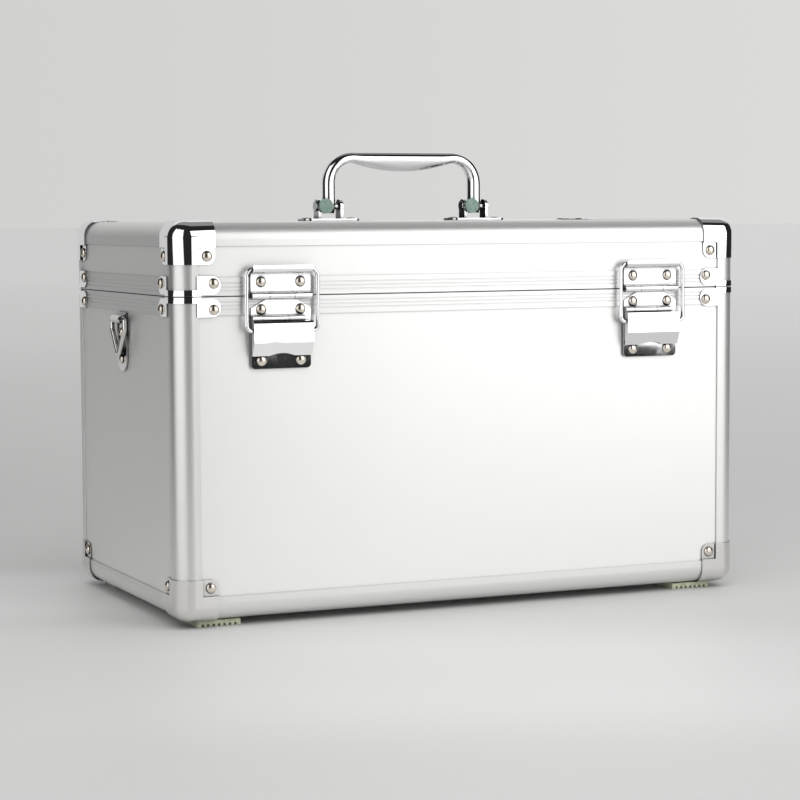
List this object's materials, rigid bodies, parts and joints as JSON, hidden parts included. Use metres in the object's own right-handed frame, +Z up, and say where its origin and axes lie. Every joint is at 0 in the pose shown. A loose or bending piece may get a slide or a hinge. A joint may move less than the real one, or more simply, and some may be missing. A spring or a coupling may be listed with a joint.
{
  "type": "sewing box with trays",
  "caption": "Hard-sided metal sewing box with a hinged lid, latches, a folding top handle, side rings, and trays inside that rise as the lid opens.",
  "frame": {"origin": "on the floor under the middle of the box", "axes": "+X along the front towards the right latch, -Y out of the front with the latches, +Z up"},
  "size_m": [0.3908, 0.2192, 0.2831],
  "materials": {
    "panel_aluminium": "satin",
    "edge_aluminium": "satin",
    "chrome": "polished",
    "nickel": "brushed",
    "rivet_nickel": "polished",
    "foot_rubber": "matte",
    "pad_rubber": "matte",
    "lining_fabric": "matte",
    "pad_foam": "matte",
    "tray_plastic": "matte",
    "arm_steel": "satin"
  },
  "bodies": {
    "case": {"arm_studs": "arm_steel", "body_bottom_corners": "nickel", "body_bottom_panel": "panel_aluminium", "body_bottom_trims": "edge_aluminium", "body_corner_posts": "edge_aluminium", "body_front_panel": "panel_aluminium", "body_left_panel": "panel_aluminium", "body_rear_panel": "panel_aluminium", "body_right_panel": "panel_aluminium", "body_rim": "edge_aluminium", "body_rim_brackets": "chrome", "body_rivets": "rivet_nickel", "body_wall_lining": "lining_fabric", "feet": "foot_rubber", "floor_mat": "pad_foam", "hinge_body_leaves": "nickel", "hinge_pins": "nickel", "latch_base_left": "chrome", "latch_base_right": "chrome", "lever_pin_left": "chrome", "lever_pin_right": "chrome", "lower_dividers": "tray_plastic", "lower_tray": "tray_plastic", "ring_plate_left": "nickel", "ring_plate_right": "nickel"},
    "lid": {"handle_brackets": "chrome", "handle_pins": "chrome", "hinge_lid_leaves": "nickel", "lid_corner_posts": "edge_aluminium", "lid_front_panel": "panel_aluminium", "lid_left_panel": "panel_aluminium", "lid_pad": "pad_foam", "lid_rear_panel": "panel_aluminium", "lid_right_panel": "panel_aluminium", "lid_rim": "edge_aluminium", "lid_rim_brackets": "chrome", "lid_rivets": "rivet_nickel", "lid_studs": "arm_steel", "lid_top_corners": "chrome", "lid_top_panel": "panel_aluminium", "lid_top_trims": "edge_aluminium", "lid_wall_lining": "lining_fabric", "strike_plate_left": "chrome", "strike_plate_right": "chrome"},
    "lever_left": {"latch_lever_left": "chrome"},
    "lever_right": {"latch_lever_right": "chrome"},
    "bail_left": {"latch_bail_left": "chrome"},
    "bail_right": {"latch_bail_right": "chrome"},
    "handle_grip": {"handle": "chrome", "handle_pads": "pad_rubber"},
    "ring_left": {"side_ring_left": "nickel"},
    "ring_right": {"side_ring_right": "nickel"},
    "rear_arms": {"rear_arms": "arm_steel"},
    "front_arms": {"front_arms": "arm_steel"},
    "lift_links": {"lift_links": "arm_steel"},
    "tray": {"upper_tray": "tray_plastic", "upper_dividers": "tray_plastic", "tray_studs": "arm_steel"}
  },
  "joints": [
    {"name": "lid_hinge", "type": "hinge", "parent": "case", "child": "lid", "pos_m": [0, 0.1064, 0.1955], "axis": [-1, 0, 0], "range_deg": [0, 95]},
    {"name": "lever_left_hinge", "type": "hinge", "parent": "case", "child": "lever_left", "pos_m": [-0.125, -0.1062, 0.1823], "axis": [-1, 0, 0], "range_deg": [0, 60]},
    {"name": "bail_left_pivot", "type": "hinge", "parent": "lever_left", "child": "bail_left", "pos_m": [-0.125, -0.1071, 0.1749], "axis": [-1, 0, 0], "range_deg": [-49.8, 0]},
    {"name": "lever_right_hinge", "type": "hinge", "parent": "case", "child": "lever_right", "pos_m": [0.125, -0.1062, 0.1823], "axis": [-1, 0, 0], "range_deg": [0, 60]},
    {"name": "bail_right_pivot", "type": "hinge", "parent": "lever_right", "child": "bail_right", "pos_m": [0.125, -0.1071, 0.1749], "axis": [-1, 0, 0], "range_deg": [-49.8, 0]},
    {"name": "handle_hinge", "type": "hinge", "parent": "lid", "child": "handle_grip", "pos_m": [0, 0, 0.2484], "axis": [-1, 0, 0], "range_deg": [0, 90]},
    {"name": "ring_left_hinge", "type": "hinge", "parent": "case", "child": "ring_left", "pos_m": [-0.1926, 0, 0.1795], "axis": [0, 1, 0], "range_deg": [0, 110]},
    {"name": "ring_right_hinge", "type": "hinge", "parent": "case", "child": "ring_right", "pos_m": [0.1926, 0, 0.1795], "axis": [0, -1, 0], "range_deg": [0, 110]},
    {"name": "rear_arm_hinge", "type": "hinge", "parent": "case", "child": "rear_arms", "pos_m": [0, 0.0644, 0.1855], "axis": [-1, 0, 0], "range_deg": [0, 95]},
    {"name": "front_arm_hinge", "type": "hinge", "parent": "case", "child": "front_arms", "pos_m": [0, -0.0076, 0.1855], "axis": [-1, 0, 0], "range_deg": [0, 95]},
    {"name": "tray_hinge", "type": "hinge", "parent": "rear_arms", "child": "tray", "pos_m": [0, -0.00142, 0.1475], "axis": [-1, 0, 0], "range_deg": [-95, 0]},
    {"name": "link_hinge", "type": "hinge", "parent": "lid", "child": "lift_links", "pos_m": [0, 0.0614, 0.2095], "axis": [-1, 0, 0], "range_deg": [-95, 0]}
  ],
  "couplings": [
    {"joint": "bail_left_pivot", "follows": "lever_left_hinge", "ratio": -0.83},
    {"joint": "bail_right_pivot", "follows": "lever_right_hinge", "ratio": -0.83},
    {"joint": "rear_arm_hinge", "follows": "lid_hinge", "ratio": 1},
    {"joint": "front_arm_hinge", "follows": "lid_hinge", "ratio": 1},
    {"joint": "tray_hinge", "follows": "lid_hinge", "ratio": -1},
    {"joint": "link_hinge", "follows": "lid_hinge", "ratio": -1}
  ]
}
